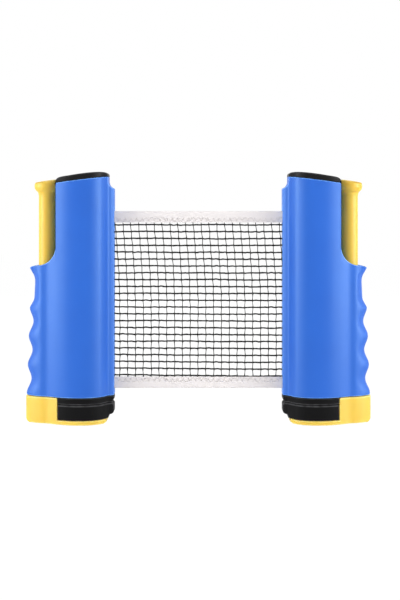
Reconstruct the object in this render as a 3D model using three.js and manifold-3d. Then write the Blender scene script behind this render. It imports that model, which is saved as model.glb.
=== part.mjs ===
// A retractable table tennis net: two clamp posts with spring rollers, and the net between them.
// Millimetres, +Z up. X runs along the net and Y through it; the origin is on the ground, midway
// between the posts. Each post is drawn in its own frame, where x is the distance outward from the
// face that the net leaves, and the left post is the mirror image of the right one.

import * as THREE from "three";
import { mergeVertices } from "three/addons/utils/BufferGeometryUtils.js";
import Module from "manifold-3d";

const wasm = await Module();
wasm.setup();

// ---- Driving dimensions ----

const POST_GAP = 134; // clear net between the two posts
const SEAT_GAP = 0.2; // between faces that are fixed together
const SLIDE_GAP = 0.3; // between faces that slide or rest on each other

// the clamp, from the ground up
const FOOT_PLATE = 3.6;
const FOOT_OVERHANG = 0.5; // how far the foot stands proud of the grip's lowest ridge
const FOOT_SETBACK = 4.2; // the plate ends this far short of the net side of the body
const FOOT_CORNER = 4.5; // radius of the foot's lower outer corner
const LOWER_PAD = 12;
const PAD_NOSE = 9.4; // height of the lower pad's nose, from its bearing face down
const PAD_UNDERCUT = 3.1; // how far the pad draws back below its nose
const UPPER_PAD = 5.1;
const LUG_RADIUS = 2;
const LUG_SPREAD = 11; // of the pads' lugs from the middle plane
const CLAMP_TRAVEL = 40;

// the moulded body
const WALL = 2.2;
const FLOOR = 2.6;
const PARTING_GAP = 0.2;
const FLANGE_REACH = 4.6; // the lip round the net's slot
const FLANGE_END_HALF = 5.4;
const FLANGE_HALF = 8.6;
const FLANGE_DROP = 9.3; // the lip's top lies this far below the barrel's
const BARREL_HALF = 21;
const PARTITION = 2;
const GRIP_HALF = 11;
const GRIP_WALL = 2.1;
const FINGER_PITCH = 22.8;
const FINGER_GROOVES = 3;
const FINGER_DEPTH = 3.4;
const RIDGE_STAND = 6.7; // the lowest ridge stands this far out from the thumb hollow
const RIDGE_TAPER = 0.035; // the ridges draw in by this share of their height
const NOTCH_RADIUS = 14.6;
const NOTCH_FLOOR = 124.4;
const TOP_SLOPE = 0.127;
const POCKET_DEPTH = 18.8; // of the open pocket under the cap
const SLOT_HALF = 1.4;

// the net and its rollers
const NET_ABOVE_TABLE = 152.5; // rule height of a net
const NET_CLEARANCE = 2.2; // the net's lower edge above the body's floor
const TAPE_HEIGHT = 9.1;
const TAPE_THICKNESS = 1.2;
const STRAND = 0.9;
const NET_COLUMNS = 17;
const NET_ROWS = 17;
const NET_ENTRY = 5.4; // the net's flat stretch ends this far inside a post
const FEED_THICKNESS = 0.8;
const THROAT = 6.9; // between the slot's lip and the full roll
const ROLL_RADIUS = 13.5;
const TUBE_RADIUS = 8;
const TUBE_WALL = 1.5;
const ARBOR_RADIUS = 2;
const ARBOR_BOSS = 3;
const BRIDGE = 3;
const PLUG_LENGTH = 6;
const RETRACT_WIRE = 1;
const RETRACT_TURNS = 6;
const RETRACT_LENGTH = 40;
const ANCHOR_LENGTH = 8;

// the squeeze plunger and its spring
const STEM_RADIUS = 6.9;
const STEM_GUIDE_GAP = 0.3;
const COLLAR_LIP = 0.4; // of the collar, outside the stem
const COLLAR_HEIGHT = 3;
const COLLAR_DROP = 12; // the collar's top lies this far below the guide
const GUIDE_LENGTH = 6.4; // of the guide, below the floor of the notch
const FLARE_RADIUS = 10.3;
const FLARE_HEIGHT = 12.4;
const HEAD_SLOPE = 0.15;
const TENON_SHOULDER = 0.8;
const TENON_LENGTH = 15;
const PIN_RADIUS = 1.5;
const COIL_CLEARANCE = 0.25; // between the clamp spring and the column inside it
const COIL_WIRE = 1.1;
const COIL_TURNS = 7;
const WASHER = 0.8;

// the screws that hold the shells together
const SCREW_RADIUS = 1;
const SCREW_HEAD_RADIUS = 2.2;
const SCREW_HEAD = 1.6;
const SCREW_SEAT = 4.2; // the head's seat, behind the middle plane
const SCREW_TIP = 7; // the point, in front of the middle plane
const SCREW_RISE = 10; // of the lowest screw above the floor
const SCREW_STEP = 66.2; // from the lowest screw to the middle one
const BOSS_WALL = 1.1; // round the screw's head

const CAP_RISE = 4.2;
const CAP_SPIGOT = 5;
const CAP_WALL = 1.8;

// ---- Places worked out from them ----

const LOWER_PAD_Z = FOOT_PLATE + SEAT_GAP;
const JAW_Z = LOWER_PAD_Z + LOWER_PAD;
const UPPER_PAD_Z = JAW_Z + SLIDE_GAP;
const BODY_Z = UPPER_PAD_Z + UPPER_PAD + SEAT_GAP;
const FLOOR_Z = BODY_Z + FLOOR;
const NET_TOP = UPPER_PAD_Z + NET_ABOVE_TABLE;
const NET_BOTTOM = FLOOR_Z + NET_CLEARANCE;
const SLOT_MARGIN = 2;
const BRIDGE_Z = NET_TOP + SLOT_MARGIN + 2.4;
const POCKET_Z = BRIDGE_Z + BRIDGE;
const BARREL_TOP = POCKET_Z + POCKET_DEPTH;
const FLANGE_TOP = BARREL_TOP - FLANGE_DROP;

const BOSS_RADIUS = SCREW_HEAD_RADIUS + BOSS_WALL;
const ARBOR_SQUARE = 2 * ARBOR_RADIUS;
const TUBE_BORE = TUBE_RADIUS - TUBE_WALL;
const ARBOR_BOSS_RADIUS = TUBE_BORE - 1.9;
const PLUG_RADIUS = TUBE_BORE - SEAT_GAP;
const PLUG_BORE = ARBOR_RADIUS + SEAT_GAP;
const RETRACT_COIL_RADIUS = (ARBOR_RADIUS + PLUG_RADIUS) / 2;
const COLLAR_RADIUS = STEM_RADIUS + COLLAR_LIP;
const COIL_RADIUS = COLLAR_RADIUS - 0.15 - COIL_WIRE / 2;
const COLUMN = Math.SQRT2 * (COIL_RADIUS - COIL_WIRE / 2 - COIL_CLEARANCE); // side of the square
const TENON = COLUMN - 2 * TENON_SHOULDER;
const PIN_LENGTH = 2 * (STEM_RADIUS - SLIDE_GAP);

const ROOM_X = FLANGE_REACH + 1;
const ROLL_X = FLANGE_REACH + THROAT + ROLL_RADIUS;
const BOSS_X = ROLL_X + ROLL_RADIUS + 0.6 + BOSS_RADIUS;
const PARTITION_IN = BOSS_X + 0.8;
const PARTITION_OUT = PARTITION_IN + PARTITION;
const BARREL_OUT = PARTITION_OUT + 1.2;
const STEM_X = BARREL_OUT + SLIDE_GAP + STEM_RADIUS;
const GRIP_ROOM_RADIUS = COLLAR_RADIUS + 0.5;
const GRIP_THIN = STEM_X + GRIP_ROOM_RADIUS + GRIP_WALL;
const RIDGE_OUT = GRIP_THIN + RIDGE_STAND;
const FOOT_OUT = RIDGE_OUT + FOOT_OVERHANG;

const FIRST_RIDGE_Z = BODY_Z + 1.2;
const LAST_RIDGE_Z = FIRST_RIDGE_Z + FINGER_GROOVES * FINGER_PITCH;
const TIP_Z = NOTCH_FLOOR - 2;
const GUIDE_Z = NOTCH_FLOOR - GUIDE_LENGTH;
const COLLAR_TOP = GUIDE_Z - COLLAR_DROP;
const COLLAR_Z = COLLAR_TOP - COLLAR_HEIGHT;
const NECK_Z = NOTCH_FLOOR + NOTCH_RADIUS + CLAMP_TRAVEL + 1.2;
const TENON_TOP = COLLAR_Z + TENON_LENGTH;
const PIN_Z = COLLAR_TOP + 5;
const ARBOR_BOSS_TOP = FLOOR_Z + ARBOR_BOSS;
const TUBE_Z = FLOOR_Z + 1.2;
const TUBE_TOP = BRIDGE_Z - 1.5;
const REACH = 300; // longer than anything here, for cutters that run right through

// ---- Shapes ----

const point = (x, y) => new THREE.Vector2(x, y);

// a closed three.js geometry as a solid that can be cut and joined
function solidOf(geometry) {
  const bare = geometry.clone();
  bare.deleteAttribute("normal");
  bare.deleteAttribute("uv");
  const merged = mergeVertices(bare, 1e-4);
  return new wasm.Manifold(
    new wasm.Mesh({
      numProp: 3,
      vertProperties: merged.attributes.position.array,
      triVerts: new Uint32Array(merged.index.array),
    }),
  );
}

function geometryOf(solid) {
  const mesh = solid.getMesh();
  const geometry = new THREE.BufferGeometry();
  geometry.setAttribute("position", new THREE.BufferAttribute(mesh.vertProperties, 3));
  geometry.setIndex(new THREE.BufferAttribute(mesh.triVerts, 1));
  return geometry;
}

function block(x0, x1, y0, y1, z0, z1) {
  const box = new THREE.BoxGeometry(x1 - x0, y1 - y0, z1 - z0);
  box.translate((x0 + x1) / 2, (y0 + y1) / 2, (z0 + z1) / 2);
  return solidOf(box);
}

const squarePost = (x, side, z0, z1) => block(x - side / 2, x + side / 2, -side / 2, side / 2, z0, z1);

// an outline given as a Shape or as a list of points, drawn out straight
function extruded(outline, depth) {
  const shape = Array.isArray(outline) ? new THREE.Shape(outline) : outline;
  return new THREE.ExtrudeGeometry(shape, { depth, bevelEnabled: false, curveSegments: 7 });
}

// an upright outline in x and y, from z0 to z1
function upright(outline, z0, z1) {
  const prism = extruded(outline, z1 - z0);
  prism.translate(0, 0, z0);
  return solidOf(prism);
}

// a side outline in x and z, from y0 to y1
function sideways(outline, y0, y1) {
  const prism = extruded(outline, y1 - y0);
  prism.rotateX(Math.PI / 2);
  prism.translate(0, y1, 0);
  return solidOf(prism);
}

// a turned piece about the upright line at x, from a profile of radius and height
function turned(profile, x, segments) {
  const lathe = new THREE.LatheGeometry(profile, segments);
  lathe.rotateX(Math.PI / 2);
  lathe.translate(x, 0, 0);
  return solidOf(lathe);
}

function rod(radius, x, z0, z1, segments = 16) {
  return turned([point(0, z0), point(radius, z0), point(radius, z1), point(0, z1)], x, segments);
}

function ring(inner, outer, x, z0, z1, segments = 16) {
  const profile = [point(inner, z0), point(outer, z0), point(outer, z1), point(inner, z1)];
  return turned([...profile, profile[0]], x, segments);
}

// a round piece that runs through the post, along y
function crossRod(radius, x, z, y0, y1, segments = 8) {
  const cylinder = new THREE.CylinderGeometry(radius, radius, y1 - y0, segments);
  cylinder.translate(x, (y0 + y1) / 2, z);
  return solidOf(cylinder);
}

class Helix extends THREE.Curve {
  constructor(radius, x, z0, z1, turns) {
    super();
    Object.assign(this, { radius, x, z0, z1, turns });
  }
  getPoint(t) {
    const angle = 2 * Math.PI * this.turns * t;
    const z = this.z0 + (this.z1 - this.z0) * t;
    return new THREE.Vector3(this.x + this.radius * Math.cos(angle), this.radius * Math.sin(angle), z);
  }
}

// round wire wound into an open spring between two flat seats
function spring(radius, wire, x, z0, z1, turns) {
  const sides = 5;
  const stepsPerTurn = 8;
  const section = Array.from({ length: sides }, (_, i) => {
    const angle = (2 * Math.PI * i) / sides;
    return point((wire / 2) * Math.cos(angle), (wire / 2) * Math.sin(angle));
  });
  const path = new Helix(radius, x, z0 + wire / 2, z1 - wire / 2, turns);
  const options = { steps: turns * stepsPerTurn, extrudePath: path, bevelEnabled: false };
  return solidOf(new THREE.ExtrudeGeometry(new THREE.Shape(section), options));
}

// ---- The body's outline ----

// where the grip's outer edge lies at a height: finger grooves, a thumb hollow, and a lip on top
function gripEdge(z) {
  const ridge = RIDGE_OUT - RIDGE_TAPER * (z - FIRST_RIDGE_Z);
  if (z <= LAST_RIDGE_Z) {
    const wave = Math.abs(Math.sin((Math.PI * (z - FIRST_RIDGE_Z)) / FINGER_PITCH));
    return ridge - FINGER_DEPTH * Math.pow(wave, 1.4);
  }
  const height = TIP_Z - LAST_RIDGE_Z;
  const lastRidge = RIDGE_OUT - RIDGE_TAPER * (LAST_RIDGE_Z - FIRST_RIDGE_Z);
  const hollow = new THREE.SplineCurve([
    point(LAST_RIDGE_Z, lastRidge),
    point(LAST_RIDGE_Z + 0.1 * height, lastRidge - 1.9),
    point(LAST_RIDGE_Z + 0.22 * height, GRIP_THIN + 0.7),
    point(LAST_RIDGE_Z + 0.45 * height, GRIP_THIN + 0.2),
    point(LAST_RIDGE_Z + 0.7 * height, GRIP_THIN),
    point(LAST_RIDGE_Z + 0.85 * height, GRIP_THIN + 1.5),
    point(TIP_Z, GRIP_THIN + 4.2),
  ]);
  const share = Math.min(1, (z - LAST_RIDGE_Z) / height);
  const samples = hollow.getPoints(60).filter((p) => p.x <= LAST_RIDGE_Z + share * height + 1e-6);
  return samples[samples.length - 1].y;
}

// half of the body's plan, from the net side outward to the grip's edge: x and half depth
function halfPlan(edge) {
  const along = (share) => FLANGE_REACH + share * (BARREL_OUT - FLANGE_REACH);
  const barrel = [
    point(0, FLANGE_END_HALF),
    point(0.4 * FLANGE_REACH, FLANGE_END_HALF + 0.5 * (FLANGE_HALF - FLANGE_END_HALF)),
    point(FLANGE_REACH, FLANGE_HALF),
    ...[
      [0.058, 0.59],
      [0.15, 0.79],
      [0.32, 0.953],
      [0.53, 1],
      [0.75, 0.94],
      [0.966, 0.777],
    ].map(([share, depth]) => point(along(share), depth * BARREL_HALF)),
    point(STEM_X - 1.6, GRIP_HALF + 1.6),
  ];
  const spline = new THREE.SplineCurve(barrel).getPoints(2 * (barrel.length - 1));
  return [...spline, point(STEM_X + 3.9, GRIP_HALF), ...gripPlan(edge)];
}

// the rounded outer end of that half plan
function gripPlan(edge) {
  return [
    point(edge - 5.3, GRIP_HALF - 0.8),
    point(edge - 1.8, GRIP_HALF - 3.6),
    point(edge - 0.3, GRIP_HALF - 7.5),
    point(edge, 0),
  ];
}

// both halves as a closed loop, anticlockwise from above
function mirrored(half) {
  const front = half.map((p) => point(p.x, -p.y));
  return [...front, ...half.slice(0, -1).reverse()];
}

const plan = (edge) => mirrored(halfPlan(edge));

// the part of the plan between two x values, drawn in by a wall
function insidePlan(wall, x0, x1) {
  const outer = halfPlan(GRIP_THIN);
  const inner = outer.map((p, i) => {
    const before = outer[Math.max(i - 1, 0)];
    const after = outer[Math.min(i + 1, outer.length - 1)];
    const tangent = after.clone().sub(before).normalize();
    return point(p.x + tangent.y * wall, p.y - tangent.x * wall);
  });
  const depthAt = (x) => {
    const next = inner.findIndex((p, i) => i > 0 && p.x >= x && inner[i - 1].x < x);
    const [a, b] = [inner[next - 1], inner[next]];
    return a.y + ((b.y - a.y) * (x - a.x)) / (b.x - a.x);
  };
  const kept = inner.filter((p) => p.x > x0 + 0.2 && p.x < x1 - 0.2);
  const rising = kept.filter((p, i) => i === 0 || p.x > kept[i - 1].x);
  const half = [point(x0, depthAt(x0)), ...rising, point(x1, depthAt(x1))];
  return [...half.map((p) => point(p.x, -p.y)), ...half.reverse()];
}

// a skin through rings of equal count, closed at both ends
function loft(rings) {
  const count = rings[0].length;
  const positions = rings.flat().flatMap((p) => [p.x, p.y, p.z]);
  const faces = [];
  for (let level = 0; level < rings.length - 1; level += 1) {
    for (let i = 0; i < count; i += 1) {
      const a = level * count + i;
      const b = level * count + ((i + 1) % count);
      faces.push(a, b, b + count, a, b + count, a + count);
    }
  }
  const lid = THREE.ShapeUtils.triangulateShape(rings[0].map((p) => point(p.x, p.y)), []);
  const top = (rings.length - 1) * count;
  lid.forEach(([a, b, c]) => faces.push(a, c, b, top + a, top + b, top + c));
  const geometry = new THREE.BufferGeometry();
  geometry.setAttribute("position", new THREE.Float32BufferAttribute(positions, 3));
  geometry.setIndex(faces);
  return solidOf(geometry);
}

const topAt = (x) => BARREL_TOP - TOP_SLOPE * (x - FLANGE_REACH);

// what the side view takes away: the notch for the plunger, the slanted top and the lip's step
function notchOutline() {
  const notch = new THREE.Shape();
  notch.moveTo(BARREL_OUT, REACH);
  notch.lineTo(BARREL_OUT, NOTCH_FLOOR + NOTCH_RADIUS);
  notch.absarc(BARREL_OUT + NOTCH_RADIUS, NOTCH_FLOOR + NOTCH_RADIUS, NOTCH_RADIUS, Math.PI, 1.5 * Math.PI);
  notch.lineTo(GRIP_THIN + 3.3, NOTCH_FLOOR - 1.4);
  notch.lineTo(GRIP_THIN + 4.2, TIP_Z - 0.8);
  notch.lineTo(REACH, TIP_Z - 0.8);
  notch.lineTo(REACH, REACH);
  return notch;
}

function topOutline() {
  const above = new THREE.Shape();
  above.moveTo(-REACH, FLANGE_TOP);
  above.lineTo(0, FLANGE_TOP);
  above.quadraticCurveTo(FLANGE_REACH * 0.9, FLANGE_TOP + 1, FLANGE_REACH, FLANGE_TOP + 5);
  above.lineTo(FLANGE_REACH, BARREL_TOP);
  above.lineTo(REACH, topAt(REACH));
  above.lineTo(REACH, REACH);
  above.lineTo(-REACH, REACH);
  return above;
}

// the grip's finger-grooved skin, drawn through rings that start inside the plain section
function gripBlank() {
  const heights = [BODY_Z, FIRST_RIDGE_Z];
  const stepsPerGroove = 5;
  for (let i = 1; i <= FINGER_GROOVES * stepsPerGroove; i += 1) {
    heights.push(FIRST_RIDGE_Z + (i * FINGER_PITCH) / stepsPerGroove);
  }
  const hollowSteps = 5;
  for (let i = 1; i <= hollowSteps; i += 1) {
    heights.push(LAST_RIDGE_Z + (i * (TIP_Z - LAST_RIDGE_Z)) / hollowSteps);
  }
  heights.push(NOTCH_FLOOR + 1);
  const rings = heights.map((z) => {
    const half = [point(STEM_X + 1, GRIP_HALF + 0.7), ...gripPlan(gripEdge(z))];
    return mirrored(half).map((p) => new THREE.Vector3(p.x, p.y, z));
  });
  return loft(rings);
}

function bodyBlank() {
  return upright(plan(GRIP_THIN - 0.4), BODY_Z, BARREL_TOP + 1)
    .add(gripBlank())
    .subtract(sideways(notchOutline(), -REACH, REACH))
    .subtract(sideways(topOutline(), -REACH, REACH));
}

// ---- The screws' places, in x and z ----

const SCREWS = [
  [FLANGE_REACH + 4.9, POCKET_Z + 5],
  [BOSS_X, POCKET_Z + 5],
  [BOSS_X, FLOOR_Z + SCREW_RISE + SCREW_STEP],
  [BOSS_X, FLOOR_Z + SCREW_RISE],
  [GRIP_THIN + 1.4, FIRST_RIDGE_Z + FINGER_PITCH],
  [GRIP_THIN + 0.7, LAST_RIDGE_Z],
];

// ---- Pieces of a post ----

// the two moulded halves of the body, which part on the middle plane
function bodyShells() {
  const blank = bodyBlank();
  const barrelRoom = insidePlan(WALL, ROOM_X, PARTITION_IN);
  const gripRoom = new THREE.Shape();
  gripRoom.moveTo(PARTITION_OUT, -GRIP_ROOM_RADIUS);
  gripRoom.lineTo(STEM_X, -GRIP_ROOM_RADIUS);
  gripRoom.absarc(STEM_X, 0, GRIP_ROOM_RADIUS, -Math.PI / 2, Math.PI / 2);
  gripRoom.lineTo(PARTITION_OUT, GRIP_ROOM_RADIUS);
  let body = blank
    .subtract(upright(barrelRoom, FLOOR_Z, BRIDGE_Z))
    .subtract(upright(barrelRoom, POCKET_Z, REACH))
    .subtract(upright(gripRoom, FLOOR_Z, GUIDE_Z))
    .subtract(rod(STEM_RADIUS + STEM_GUIDE_GAP, STEM_X, GUIDE_Z - 1, REACH))
    .subtract(squarePost(STEM_X, COLUMN + 2 * SLIDE_GAP, 0, FLOOR_Z + 1));

  const bosses = SCREWS.map(([x, z]) => crossRod(BOSS_RADIUS, x, z, -REACH, REACH));
  bosses.push(rod(ARBOR_BOSS_RADIUS, ROLL_X, BODY_Z, ARBOR_BOSS_TOP));
  bosses.forEach((boss) => {
    body = body.add(boss.intersect(blank));
  });

  const seat = ARBOR_SQUARE + 2 * SEAT_GAP;
  body = body
    .subtract(rod(STEM_RADIUS + STEM_GUIDE_GAP, STEM_X, GUIDE_Z - 1, REACH))
    .subtract(squarePost(ROLL_X, seat, BODY_Z + 1.2, ARBOR_BOSS_TOP + 1))
    .subtract(squarePost(ROLL_X, seat, BRIDGE_Z - 1, POCKET_Z + 1))
    .subtract(block(-1, ROOM_X + 1, -SLOT_HALF, SLOT_HALF, NET_BOTTOM - SLOT_MARGIN, NET_TOP + SLOT_MARGIN));
  SCREWS.forEach(([x, z]) => {
    body = body
      .subtract(crossRod(SCREW_RADIUS + SEAT_GAP, x, z, -SCREW_TIP - 0.5, 0.1))
      .subtract(crossRod(SCREW_RADIUS + 0.4, x, z, 0, REACH))
      .subtract(crossRod(SCREW_HEAD_RADIUS + SEAT_GAP, x, z, SCREW_SEAT, REACH));
  });
  body = body.subtract(lugs(BODY_Z - 1, FLOOR_Z + 1, LUG_RADIUS + SEAT_GAP));
  const half = (y0, y1) => body.intersect(block(-REACH, REACH, y0, y1, -REACH, REACH));
  return { front: half(-REACH, -PARTING_GAP / 2), back: half(PARTING_GAP / 2, REACH) };
}

// domed end cap, whose spigot plugs the pocket in the top of the barrel
function topCap() {
  const skin = plan(GRIP_THIN);
  const dome = new THREE.Shape();
  const seatAt = (x) => topAt(x) + SEAT_GAP;
  dome.moveTo(FLANGE_REACH + 0.1, seatAt(FLANGE_REACH + 0.1));
  dome.lineTo(FLANGE_REACH + 0.1, seatAt(FLANGE_REACH) + 0.6 * CAP_RISE);
  const [rise, end] = [topAt(FLANGE_REACH) + CAP_RISE, BARREL_OUT - 0.1];
  dome.quadraticCurveTo(FLANGE_REACH + 0.2, rise, FLANGE_REACH + 4, rise);
  dome.quadraticCurveTo(ROLL_X, topAt(ROLL_X) + CAP_RISE, end - 4, topAt(end - 4) + CAP_RISE);
  dome.quadraticCurveTo(end - 0.7, topAt(end) + CAP_RISE - 0.6, end, topAt(end) + 1.4);
  dome.lineTo(end, seatAt(end));
  const lid = upright(skin, POCKET_Z, REACH).intersect(sideways(dome, -REACH, REACH));

  const x0 = ROOM_X + SLIDE_GAP;
  const x1 = PARTITION_IN - SLIDE_GAP;
  const plug = insidePlan(WALL + SLIDE_GAP, x0, x1);
  const core = insidePlan(WALL + SLIDE_GAP + CAP_WALL, x0 + CAP_WALL, x1 - CAP_WALL);
  const under = [
    point(x0, topAt(x0) - CAP_SPIGOT),
    point(x1, topAt(x1) - CAP_SPIGOT),
    point(x1, topAt(x1) + SEAT_GAP + 0.5),
    point(x0, topAt(x0) + SEAT_GAP + 0.5),
  ];
  let spigot = upright(plug, POCKET_Z, REACH)
    .subtract(upright(core, POCKET_Z - 1, REACH))
    .intersect(sideways(under, -REACH, REACH));
  SCREWS.slice(0, 2).forEach(([x, z]) => {
    spigot = spigot.subtract(crossRod(BOSS_RADIUS + SLIDE_GAP, x, z, -REACH, REACH));
  });
  return lid.add(spigot);
}

// the plan of a jaw pad: the body's own plan, cut off where the foot's block begins
const padPlan = () => plan(RIDGE_OUT);

// the pair of round lugs that locate a pad, or the holes for them
function lugs(z0, z1, radius = LUG_RADIUS) {
  const lug = rod(radius, ROLL_X, z0, z1, 8);
  return lug.translate([0, LUG_SPREAD, 0]).add(lug.translate([0, -LUG_SPREAD, 0]));
}

// rubber pad under the body, which bears on the table's top
function upperJawPad() {
  const top = UPPER_PAD_Z + UPPER_PAD;
  const side = [
    point(0.9, UPPER_PAD_Z),
    point(BARREL_OUT - SEAT_GAP, UPPER_PAD_Z),
    point(BARREL_OUT - SEAT_GAP, top),
    point(0.1, top),
    point(0.1, UPPER_PAD_Z + 1),
  ];
  const slab = upright(padPlan(), 0, REACH).intersect(sideways(side, -REACH, REACH));
  return slab.add(lugs(top - 0.5, FLOOR_Z - 0.2));
}

// rubber pad on the foot, which bears on the table's underside; its nose recedes towards the plate
function lowerJawPad() {
  const nose = FOOT_SETBACK - 1 - PAD_UNDERCUT;
  const side = [
    point(FOOT_SETBACK, LOWER_PAD_Z),
    point(BARREL_OUT - SEAT_GAP, LOWER_PAD_Z),
    point(BARREL_OUT - SEAT_GAP, JAW_Z),
    point(nose + 0.07 * LOWER_PAD, JAW_Z),
    point(nose, JAW_Z - 0.1 * LOWER_PAD),
    point(nose, JAW_Z - 0.62 * PAD_NOSE),
    point(nose + 0.35 * PAD_UNDERCUT, JAW_Z - 0.87 * PAD_NOSE),
    point(nose + PAD_UNDERCUT, JAW_Z - 1.02 * PAD_NOSE),
  ];
  const slab = upright(padPlan(), 0, REACH).intersect(sideways(side, -REACH, REACH));
  return slab.add(lugs(FOOT_PLATE - 2.4, LOWER_PAD_Z + 0.5));
}

// the moulded foot: the plate under the table, the block outside it and the square column above
function clampFoot() {
  const side = new THREE.Shape();
  const top = BODY_Z - SLIDE_GAP;
  side.moveTo(FOOT_SETBACK, 0.8);
  side.lineTo(FOOT_SETBACK + 0.8, 0);
  side.lineTo(FOOT_OUT - FOOT_CORNER, 0);
  side.absarc(FOOT_OUT - FOOT_CORNER, FOOT_CORNER, FOOT_CORNER, -Math.PI / 2, 0);
  side.lineTo(FOOT_OUT, top);
  side.lineTo(BARREL_OUT, top);
  side.lineTo(BARREL_OUT, FOOT_PLATE);
  side.lineTo(FOOT_SETBACK, FOOT_PLATE);
  const foot = upright(plan(FOOT_OUT), -1, REACH)
    .intersect(sideways(side, -REACH, REACH))
    .add(squarePost(STEM_X, COLUMN, top - 2, COLLAR_Z - SLIDE_GAP))
    .add(squarePost(STEM_X, TENON, COLLAR_Z - 2, TENON_TOP))
    .subtract(crossRod(PIN_RADIUS + SEAT_GAP, STEM_X, PIN_Z, -REACH, REACH));
  return foot.subtract(lugs(-1, FOOT_PLATE + 1, LUG_RADIUS + SEAT_GAP));
}

// the plunger that the palm presses: flared head, round stem, and a collar that bears on the spring
function squeezePlunger() {
  const flare = new THREE.SplineCurve([
    point(STEM_RADIUS, NECK_Z),
    point(STEM_RADIUS + 0.7, NECK_Z + 0.19 * FLARE_HEIGHT),
    point(FLARE_RADIUS - 0.7, NECK_Z + 0.34 * FLARE_HEIGHT),
    point(FLARE_RADIUS, NECK_Z + 0.52 * FLARE_HEIGHT),
    point(FLARE_RADIUS - 0.4, NECK_Z + 0.76 * FLARE_HEIGHT),
    point(FLARE_RADIUS - 1.4, NECK_Z + 0.86 * FLARE_HEIGHT),
  ]).getPoints(7);
  const profile = [
    point(0, COLLAR_Z),
    point(COLLAR_RADIUS, COLLAR_Z),
    point(COLLAR_RADIUS, COLLAR_TOP),
    point(STEM_RADIUS, COLLAR_TOP + 0.6),
    ...flare,
    point(FLARE_RADIUS - 2, NECK_Z + 1.3 * FLARE_HEIGHT),
    point(0, NECK_Z + 1.3 * FLARE_HEIGHT),
  ];
  const headTop = NECK_Z + FLARE_HEIGHT;
  const side = [
    point(STEM_X - STEM_RADIUS, COLLAR_TOP + 8),
    point(REACH, COLLAR_TOP + 8),
    point(REACH, headTop - HEAD_SLOPE * (REACH - STEM_X + STEM_RADIUS)),
    point(STEM_X - STEM_RADIUS, headTop),
  ];
  const turnedBlank = turned(profile, STEM_X, 20);
  const lower = turnedBlank.intersect(block(-REACH, REACH, -REACH, REACH, -1, COLLAR_TOP + 8));
  return turnedBlank
    .intersect(sideways(side, -REACH, REACH))
    .add(lower)
    .subtract(squarePost(STEM_X, TENON + 2 * SLIDE_GAP, COLLAR_Z - 1, TENON_TOP + SLIDE_GAP))
    .subtract(crossRod(PIN_RADIUS + SEAT_GAP, STEM_X, PIN_Z, -REACH, REACH));
}

function plungerPin() {
  return crossRod(PIN_RADIUS, STEM_X, PIN_Z, -PIN_LENGTH / 2, PIN_LENGTH / 2);
}

// steel washer that spreads the clamp spring's load over the floor of the grip
function springWasher() {
  const z = FLOOR_Z + SEAT_GAP;
  return ring(COLUMN * Math.SQRT1_2 + SLIDE_GAP, COLLAR_RADIUS, STEM_X, z, z + WASHER);
}

function clampSpring() {
  const z0 = FLOOR_Z + 2 * SEAT_GAP + WASHER;
  return spring(COIL_RADIUS, COIL_WIRE, STEM_X, z0, COLLAR_Z - SEAT_GAP, COIL_TURNS);
}

function rollerTube() {
  return ring(TUBE_BORE, TUBE_RADIUS, ROLL_X, TUBE_Z, TUBE_TOP);
}

const LOWER_PLUG_Z = ARBOR_BOSS_TOP + SLIDE_GAP;
const UPPER_PLUG_Z = TUBE_TOP - PLUG_LENGTH;

function rollerLowerPlug() {
  return ring(PLUG_BORE, PLUG_RADIUS, ROLL_X, LOWER_PLUG_Z, LOWER_PLUG_Z + PLUG_LENGTH);
}

function rollerUpperPlug() {
  const flange = ring(PLUG_BORE, TUBE_RADIUS + 0.5, ROLL_X, TUBE_TOP + SEAT_GAP, BRIDGE_Z - SLIDE_GAP);
  return ring(PLUG_BORE, PLUG_RADIUS, ROLL_X, UPPER_PLUG_Z, BRIDGE_Z - SLIDE_GAP).add(flange);
}

// the still rod that the roller turns on, held by its square ends between the two shells
function rollerArbor() {
  return rod(ARBOR_RADIUS, ROLL_X, ARBOR_BOSS_TOP - 0.5, BRIDGE_Z + 0.5, 12)
    .add(squarePost(ROLL_X, ARBOR_SQUARE, BODY_Z + 1.4, ARBOR_BOSS_TOP))
    .add(squarePost(ROLL_X, ARBOR_SQUARE, BRIDGE_Z, POCKET_Z));
}

const RETRACT_Z = LOWER_PLUG_Z + PLUG_LENGTH + SEAT_GAP;

function retractSpring() {
  const top = RETRACT_Z + RETRACT_LENGTH;
  return spring(RETRACT_COIL_RADIUS, RETRACT_WIRE, ROLL_X, RETRACT_Z, top, RETRACT_TURNS);
}

// collar on the arbor that takes the still end of the retracting spring
function springAnchor() {
  const z = RETRACT_Z + RETRACT_LENGTH + SEAT_GAP;
  return ring(PLUG_BORE, PLUG_RADIUS - 1, ROLL_X, z, z + ANCHOR_LENGTH);
}

function netRoll() {
  return ring(TUBE_RADIUS + SEAT_GAP, ROLL_RADIUS, ROLL_X, NET_BOTTOM, NET_TOP);
}

// the stretch of net that leaves the roll at its tangent and runs to the slot
function netFeed() {
  const clear = ROLL_RADIUS + SLIDE_GAP + FEED_THICKNESS / 2;
  const start = NET_ENTRY + SLIDE_GAP;
  const span = ROLL_X - start;
  const lean = Math.asin(clear / span);
  const length = Math.sqrt(span * span - clear * clear);
  const along = point(Math.cos(lean), Math.sin(lean));
  const across = point(-along.y, along.x).multiplyScalar(FEED_THICKNESS / 2);
  const near = point(start + Math.abs(across.x), 0);
  const far = point(start + along.x * length, along.y * length);
  const outline = [
    near.clone().sub(across),
    far.clone().sub(across),
    far.clone().add(across),
    near.clone().add(across),
  ];
  return upright(outline, NET_BOTTOM, NET_TOP);
}

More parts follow.
